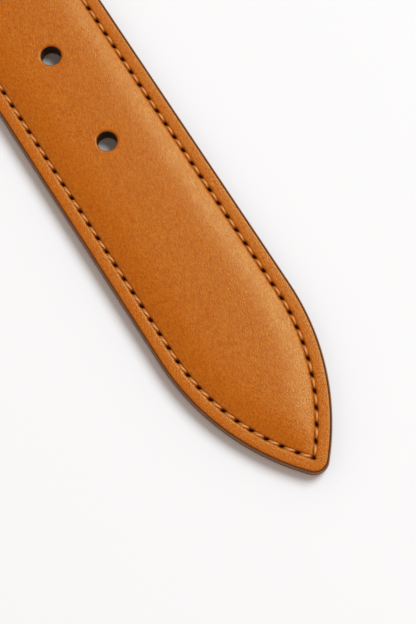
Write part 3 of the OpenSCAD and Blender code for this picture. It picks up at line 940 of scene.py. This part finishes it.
def keeper_band(inner, outer, step, surface):
    """Closed band round the loop: points, faces, and each point's distance from the band's nearer side.

    surface(x) is how far the outer side lies below its plain place, x in from the band's side.
    """
    side, row = [0.0, 0.05, 0.16, 0.32, 0.55], np.linspace(0.9, 2.4, 13)
    x = np.concatenate([side, row, np.linspace(2.8, KEEPER_LEN / 2, 7)])
    x = np.concatenate([x, KEEPER_LEN - x[-2::-1]])
    thick = outer - inner - surface(np.minimum(x, KEEPER_LEN - x))
    rings = []
    for (y, z), way in keeper_loop(inner, step):
        top = [(at, y + way[0] * t, z + way[1] * t) for at, t in zip(x, thick)]
        rings.append([(0.0, y, z), *top, (KEEPER_LEN, y, z)])
    points = np.array(rings).reshape(-1, 3)
    from_side = np.minimum(points[:, 0], KEEPER_LEN - points[:, 0])
    return points + np.array([KEEPER_X, 0, 0]), ring_faces(len(rings), len(rings[0]), closed=True), from_side


def keeper_surface(x):
    """A rounded side and the groove of the stitches."""
    return rounding(x, 0.5, 0.35) + 0.33 * np.exp(-(((x - ROW_INSET) / 0.33) ** 2))


def make_keeper_leathers():
    """The keeper's outer leather, dark along its painted sides and with painted shade along its stitches, and
    its lining.
    """
    points, faces, from_side = keeper_band(KEEPER_LINING_T, KEEPER_T, 0.6, keeper_surface)
    outside = new_piece(
        "keeper_leather", points, faces, "face_leather", FACE_LEATHER, "keeper", ["keeper_face"])
    # Dark edge paint on the sides, and painted shade in the stitches' groove
    dye_and_shade = 0.5 * np.exp(-((from_side / 0.15) ** 2)) + 0.5 * np.exp(-(((from_side - ROW_INSET) / 0.3) ** 2))
    paint(outside, "shade_and_dye", dye_and_shade)
    points, faces, _ = keeper_band(0.0, KEEPER_LINING_T, 1.5, np.zeros_like)
    inside = new_piece(
        "keeper_inside", points, faces, "lining_leather", LINING_LEATHER, "keeper", ["keeper_lining"])
    # The lining is painted slightly darker all over
    paint(inside, "shade_and_dye", np.full(len(points), 0.1))


def make_keeper_stitches():
    """A ring of separate stitches near each side of the keeper."""
    loop = keeper_loop(KEEPER_T, 0.12)
    at = np.array([row[0] for row in loop])
    way = np.array([row[1] for row in loop])
    along = np.concatenate([[0], np.cumsum(np.hypot(*np.diff(at, axis=0).T))])
    count = int(along[-1] / PITCH)
    steps = 9
    points, faces, dark = [], [], []
    for row_x in (ROW_INSET, KEEPER_LEN - ROW_INSET):
        for k in range(count):
            faces += ring_faces(steps, STRAND_POINTS, STRAND_POINTS * len(points))
            for t in np.linspace(0, 1, steps):
                q = (k + 0.1 + 0.8 * t) * along[-1] / count
                y, z = (np.interp(q, along, at[:, i]) for i in (0, 1))
                out_y, out_z = (np.interp(q, along, way[:, i]) for i in (0, 1))
                arch = stitch_arch(t)
                thick = 0.3 * (0.45 + 0.55 * arch)
                lift = -0.28 - 0.3 * (1 - arch) + 0.75 * thick * np.sin(AROUND)
                x = KEEPER_X + row_x + 1.05 * thick * np.cos(AROUND)
                points.append(np.stack([x, y + out_y * lift, z + out_z * lift], -1))
                # Painted shade at the stitch's ends, where it goes into its hole
                dark.append(np.full(STRAND_POINTS, 0.8 * (1 - arch)))
    stitches = new_piece(
        "keeper_stitches", np.concatenate(points), faces, "thread", THREAD, "keeper", ["keeper_thread"])
    paint(stitches, "painted_shade", np.concatenate(dark))


# ---------- CAD parts that keep their shape ----------

def finish_cad_parts():
    """Gives each CAD node that stays its material."""
    for node, material in {
        "strap_padding": FELT, "strap_core": BOARD, "screw_posts": STEEL, "clamp_screws": STEEL,
        "buckle_bar": BRASS, "keeper_staple": STEEL,
    }.items():
        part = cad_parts[node]
        for slot in part.material_slots:
            slot.material = material


# ---------- floor, light and camera ----------

# The camera looks down at LOOK_AT on the table, TILT off the vertical. RIGHT and DOWN are the picture's own
# directions on the table, turned by YAW from the strap's, and BACK points from the table to the camera.
YAW = np.radians(57.67)
TILT = np.radians(15.0)
DISTANCE = 427.3
LOOK_AT = np.array([95.89, -1.51, 0.0])
RIGHT = np.array([np.cos(YAW), np.sin(YAW), 0.0])
DOWN = np.array([np.sin(YAW), -np.cos(YAW), 0.0])
BACK = DOWN * np.sin(TILT) + np.array([0, 0, 1.0]) * np.cos(TILT)

# The sensor's width in mm, and the focal length in pixels of the 624-pixel-high picture and in mm
SENSOR_W = 36.0
FOCAL_PX = 1881.4
FOCAL_LEN = FOCAL_PX / 624 * SENSOR_W


def make_floor():
    """A plain pale table."""
    bpy.ops.mesh.primitive_plane_add(size=6, location=(0, 0, -0.0002))
    floor = bpy.context.object
    floor.name = "floor"
    white, _, _, shader = new_material("floor_white")
    shader.inputs["Base Color"].default_value = (0.93, 0.925, 0.92, 1)
    shader.inputs["Roughness"].default_value = 0.9
    shader.inputs["Specular IOR Level"].default_value = 0.1
    floor.data.materials.append(white)


def make_sky(scene):
    """Even studio light, warm and dimmer straight overhead."""
    world = bpy.data.worlds.new("studio")
    scene.world = world
    world.use_nodes = True
    nodes, links = world.node_tree.nodes, world.node_tree.links
    upward = nodes.new("ShaderNodeSeparateXYZ")
    links.new(nodes.new("ShaderNodeTexCoord").outputs["Generated"], upward.inputs[0])
    dome = ramp(nodes, links, upward.outputs["Z"], [(0.70, (1.0, 0.878, 0.80)), (0.95, (0.48, 0.421, 0.384))])
    links.new(dome, nodes["Background"].inputs["Color"])
    nodes["Background"].inputs["Strength"].default_value = 0.62


def make_key_light(scene):
    """A round soft light from the picture's upper right, 38.5 degrees off the vertical and 3.2 m away."""
    slope = np.radians(38.5)
    reach = 3.2
    data = bpy.data.lights.new("key", "AREA")
    data.shape = "DISK"
    data.size = 1.9
    data.energy = 87
    data.color = (0.84, 0.93, 1.0)
    light = bpy.data.objects.new("key", data)
    scene.collection.objects.link(light)
    heading = (RIGHT - DOWN) / np.sqrt(2)
    towards = Vector(heading * np.sin(slope) + np.array([0, 0, np.cos(slope)]))
    light.location = Vector(LOOK_AT * MM) + towards * reach
    light.rotation_euler = (-towards).to_track_quat("-Z", "Y").to_euler()


def make_camera(scene):
    """A long lens, looking down at the free end."""
    data = bpy.data.cameras.new("camera")
    data.sensor_width = SENSOR_W
    data.lens = FOCAL_LEN
    data.clip_start = 0.01
    camera = bpy.data.objects.new("camera", data)
    scene.collection.objects.link(camera)
    turn = Matrix((RIGHT, np.cross(BACK, RIGHT), BACK)).transposed().to_4x4()
    camera.matrix_world = Matrix.Translation(Vector((LOOK_AT + BACK * DISTANCE) * MM)) @ turn
    scene.camera = camera


make_leathers()
make_edge_bead()
make_turnback_bead()
make_strap_stitches()
make_frame()
make_prong()
make_keeper_leathers()
make_keeper_stitches()
finish_cad_parts()

studio = bpy.context.scene
studio.view_settings.view_transform = "Standard"
studio.view_settings.look = "None"
make_floor()
make_sky(studio)
make_key_light(studio)
make_camera(studio)
